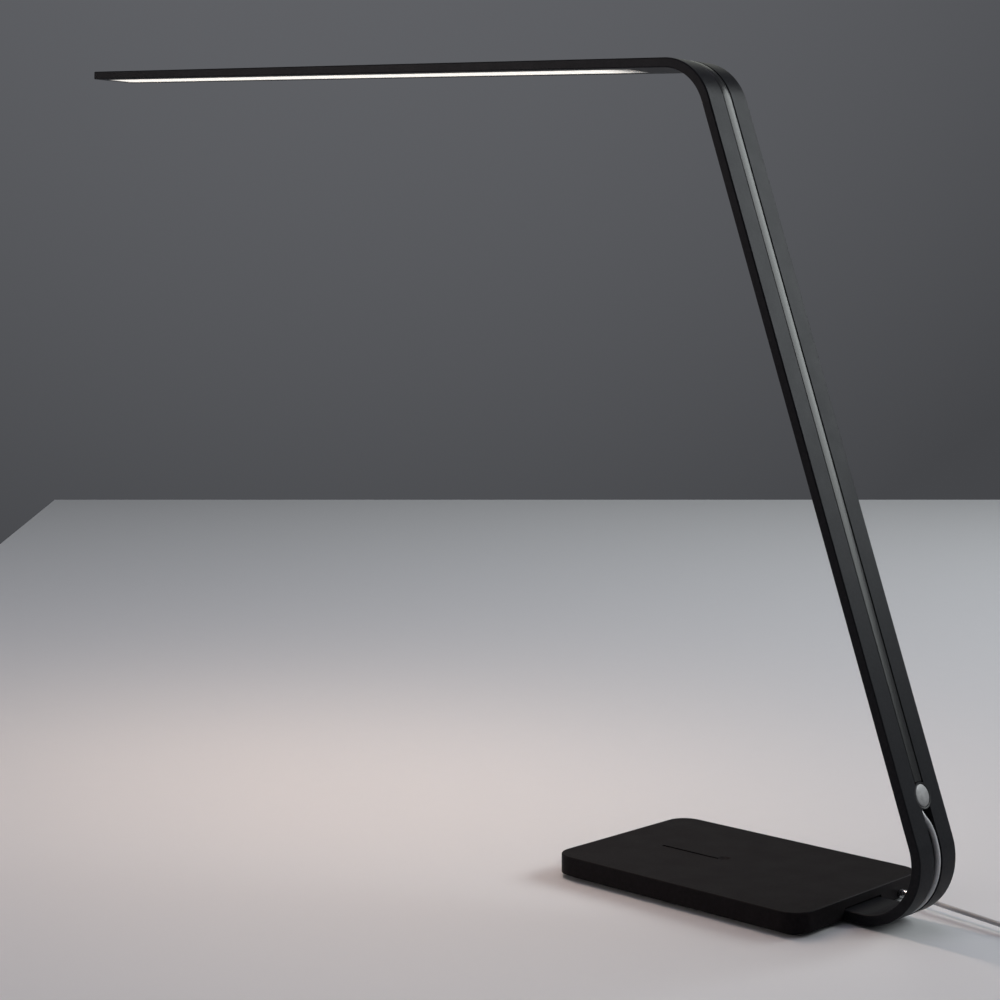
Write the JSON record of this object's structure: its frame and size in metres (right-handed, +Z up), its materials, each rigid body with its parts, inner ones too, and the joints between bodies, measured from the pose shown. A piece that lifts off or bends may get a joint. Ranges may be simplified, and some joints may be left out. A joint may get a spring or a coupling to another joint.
{
  "type": "desk lamp",
  "caption": "LED desk lamp: a flat black bar bent into foot, leaning stem and near-level arm on a rounded base plate, light strip under the arm, push button in the stem.",
  "frame": {"origin": "middle of the base plate's underside, on the surface that the lamp stands on", "axes": "+Z up; the arm points to -X and the stem stands at the +X end; the bar is centred on y = 0"},
  "size_m": [0.8343, 0.1824, 0.5192],
  "materials": {
    "base_paint": "satin",
    "bar_anodised": "matte",
    "strip_anodised": "satin",
    "button_metal": "satin",
    "bezel_metal": "satin",
    "polished_metal": "polished",
    "screw_steel": "satin",
    "cover_steel": "satin",
    "pad_rubber": "matte",
    "board_green": "satin",
    "board_white": "matte",
    "chip_black": "matte",
    "terminal_green": "gloss",
    "ferrite": "matte",
    "led_yellow": "gloss",
    "diffuser": "matte",
    "cable_grey": "satin",
    "wire_red": "satin",
    "relief_black": "matte",
    "plug_black": "satin",
    "plug_white": "matte",
    "switch_stem": "satin"
  },
  "bodies": {
    "lamp": {"base_plate": "base_paint", "base_cover": "cover_steel", "cover_screws": "screw_steel", "anti_slip_pad": "pad_rubber", "foot_screws": "screw_steel", "driver_board": "board_green", "board_screws": "screw_steel", "driver_inductor": "ferrite", "driver_capacitor": "polished_metal", "driver_chip": "chip_black", "input_terminal": "terminal_green", "output_terminal": "terminal_green", "input_lead": "cable_grey", "cord_bushing": "polished_metal", "cord_relief": "relief_black", "folded_bar": "bar_anodised", "groove_strip": "strip_anodised", "led_wires": "wire_red", "led_board": "board_white", "led_chips": "led_yellow", "led_resistors": "chip_black", "led_diffuser": "diffuser", "button_bezel": "bezel_metal", "switch_body": "chip_black", "switch_board": "board_green", "groove_cable": "cable_grey", "power_cord": "cable_grey", "power_cord_coil": "cable_grey", "power_cord_tail": "cable_grey", "coil_tie": "relief_black", "plug_relief": "relief_black", "plug_body": "plug_black", "plug_shell": "polished_metal", "plug_insert": "plug_white"},
    "button": {"button_cap": "button_metal", "switch_stem": "switch_stem"}
  },
  "joints": [
    {"name": "button_press", "type": "slide", "parent": "lamp", "child": "button", "axis": [-0.9415, 0, -0.3371], "range_m": [0, 0.0006], "stiffness_N_per_m": 1000, "springref_m": -0.0005}
  ]
}
